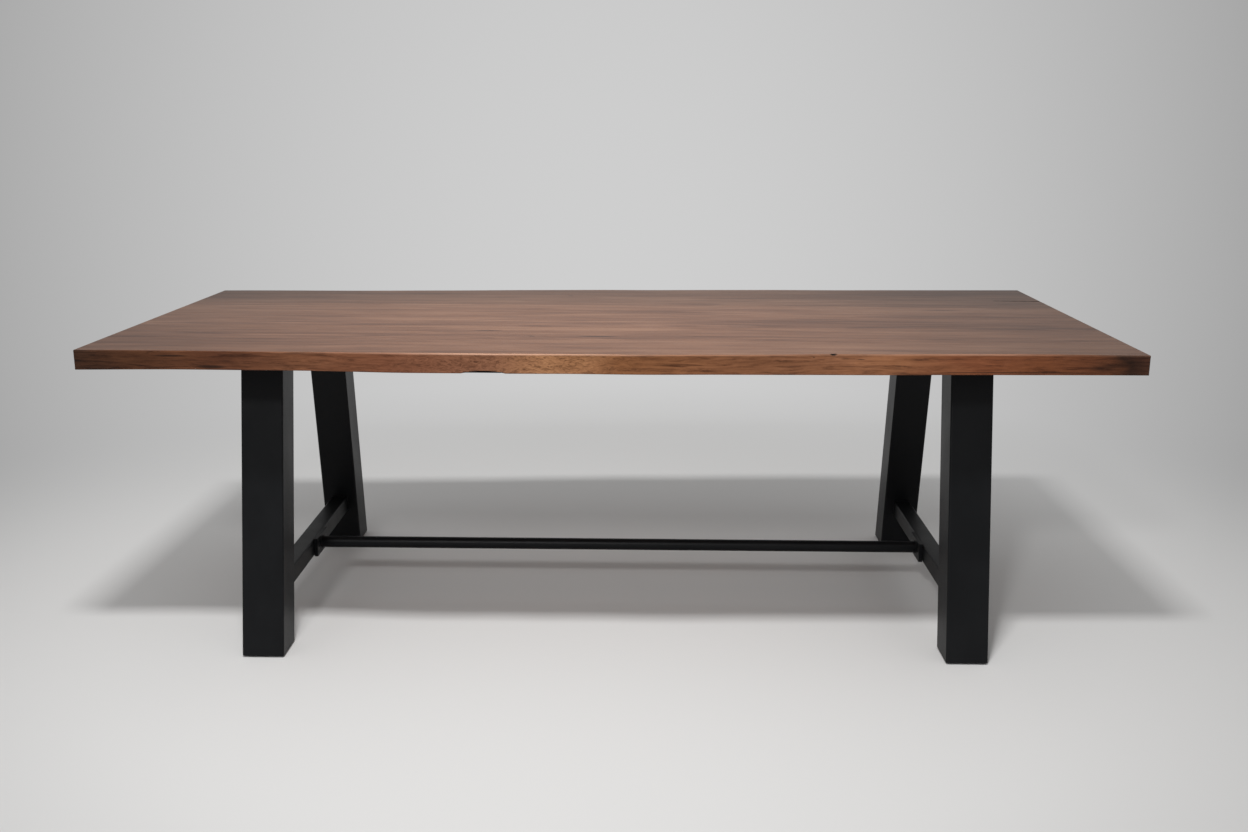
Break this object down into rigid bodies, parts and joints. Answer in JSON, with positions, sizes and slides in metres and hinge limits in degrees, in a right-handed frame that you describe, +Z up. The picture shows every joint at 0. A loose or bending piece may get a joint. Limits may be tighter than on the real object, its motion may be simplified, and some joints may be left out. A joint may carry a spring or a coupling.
{
  "type": "dining table",
  "caption": "Long wooden dining table with natural-edge glued top, leaning black steel legs in two trestle frames, a low bolted stretcher and screw-out levelling glides.",
  "frame": {"origin": "on the floor, under the middle of the top", "axes": "+X along the length to the right, +Z up, the front long edge faces -Y"},
  "size_m": [2.4, 1.126, 0.76],
  "materials": {
    "top_boards": "oiled satin, reddish brown with fine lengthwise grain",
    "resin_fill": "black resin, flush and satin",
    "powder_coated_steel": "satin charcoal black powder coat",
    "black_hardware": "black oxide",
    "zinc_hardware": "bright zinc plate",
    "nylon_pads": "matt black nylon"
  },
  "bodies": {
    "table": {"board_front": "top_boards", "board_2": "top_boards", "board_3": "top_boards", "board_4": "top_boards", "board_5": "top_boards", "board_back": "top_boards", "check_resin": "resin_fill", "leg_front_left": "powder_coated_steel", "leg_back_left": "powder_coated_steel", "leg_front_right": "powder_coated_steel", "leg_back_right": "powder_coated_steel", "cross_rail_left": "powder_coated_steel", "cross_rail_right": "powder_coated_steel", "top_plate_left": "powder_coated_steel", "top_plate_right": "powder_coated_steel", "foot_plate_front_left": "powder_coated_steel", "foot_plate_back_left": "powder_coated_steel", "foot_plate_front_right": "powder_coated_steel", "foot_plate_back_right": "powder_coated_steel", "foot_weld_nuts": "zinc_hardware", "stretcher_bar": "powder_coated_steel", "end_plate_left": "powder_coated_steel", "end_plate_right": "powder_coated_steel", "stretcher_bolts": "black_hardware", "rivet_nuts": "zinc_hardware", "top_bolts": "zinc_hardware", "top_washers": "zinc_hardware", "threaded_inserts": "zinc_hardware"},
    "glide_front_left": {"glide_stud_front_left": "zinc_hardware", "glide_pad_front_left": "nylon_pads"},
    "glide_back_left": {"glide_stud_back_left": "zinc_hardware", "glide_pad_back_left": "nylon_pads"},
    "glide_front_right": {"glide_stud_front_right": "zinc_hardware", "glide_pad_front_right": "nylon_pads"},
    "glide_back_right": {"glide_stud_back_right": "zinc_hardware", "glide_pad_back_right": "nylon_pads"}
  },
  "joints": [
    {"name": "glide_front_left_height", "type": "slide", "parent": "table", "child": "glide_front_left", "axis": [0, 0, -1], "range_m": [0, 0.015]},
    {"name": "glide_back_left_height", "type": "slide", "parent": "table", "child": "glide_back_left", "axis": [0, 0, -1], "range_m": [0, 0.015]},
    {"name": "glide_front_right_height", "type": "slide", "parent": "table", "child": "glide_front_right", "axis": [0, 0, -1], "range_m": [0, 0.015]},
    {"name": "glide_back_right_height", "type": "slide", "parent": "table", "child": "glide_back_right", "axis": [0, 0, -1], "range_m": [0, 0.015]}
  ]
}
